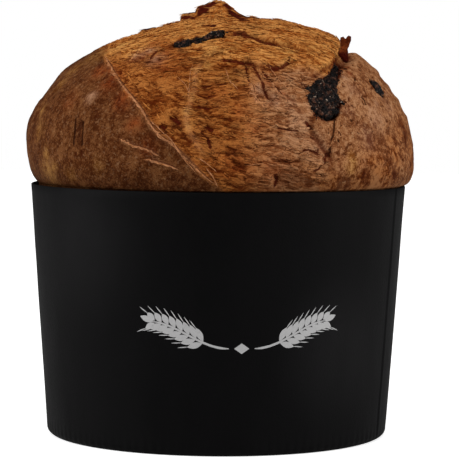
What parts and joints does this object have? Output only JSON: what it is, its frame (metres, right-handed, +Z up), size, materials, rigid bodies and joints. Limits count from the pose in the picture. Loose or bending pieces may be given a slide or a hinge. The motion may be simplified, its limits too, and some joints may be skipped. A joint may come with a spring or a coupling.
{
  "type": "panettone",
  "caption": "Tall dark chocolate panettone with a high folded crust, standing in its black paper baking case.",
  "frame": {"origin": "centre of the case's foot, on the surface that it stands on", "axes": "+Z up through the crown, -Y towards the side with the large piece of chocolate at its upper right"},
  "size_m": [0.1757, 0.1767, 0.1964],
  "materials": {
    "crust": "matte brown baked crust",
    "paper": "matte black",
    "chocolate": "dark and slightly glossy"
  },
  "bodies": {
    "root": {"bread": "crust", "paper_case": "paper", "chocolate_chunk": "chocolate", "chocolate_streak": "chocolate", "chocolate_drop": "chocolate"}
  },
  "joints": []
}
